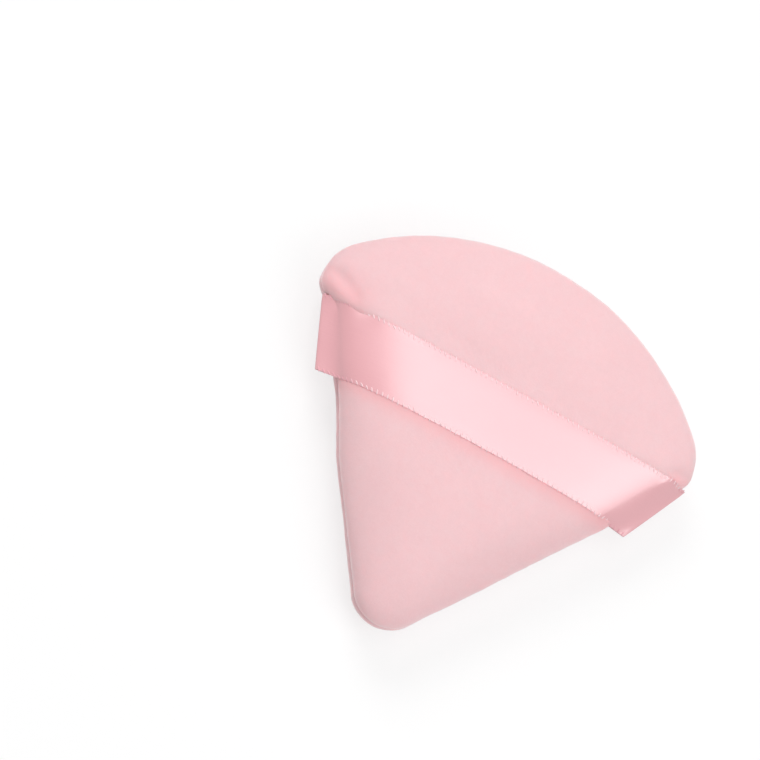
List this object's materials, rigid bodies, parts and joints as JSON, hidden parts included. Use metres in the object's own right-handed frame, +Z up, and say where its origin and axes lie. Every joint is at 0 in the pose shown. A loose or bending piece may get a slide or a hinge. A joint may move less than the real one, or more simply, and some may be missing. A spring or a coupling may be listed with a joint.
{
  "type": "powder puff",
  "caption": "Soft velour powder puff in a rounded triangle shape, with a crowned sponge pad and a satin ribbon strap across one face that fingers slip under.",
  "frame": {"origin": "on the table under the middle of the puff's outline, as it lies on its back with the strap up", "axes": "+Z up through the strap side, +Y from the rounded tip to the arc, X along the strap"},
  "size_m": [0.0754, 0.072, 0.0159],
  "materials": {
    "velour": "short pile velour, matt with a pale sheen at its edges",
    "satin": "woven satin ribbon with a soft shine and looped edges",
    "sponge": "open cell polyurethane sponge",
    "thread": "spun polyester sewing thread"
  },
  "bodies": {
    "pad": {"front_cover": "velour", "back_cover": "velour", "sponge_core": "sponge", "left_strap_end": "satin", "right_strap_end": "satin", "seam_thread": "thread", "closing_thread": "thread"},
    "strap": {"strap_middle": "satin"}
  },
  "joints": [
    {"name": "strap_lift", "type": "slide", "parent": "pad", "child": "strap", "axis": [0, 0, 1], "range_m": [0, 0.008], "stiffness_N_per_m": 5}
  ]
}
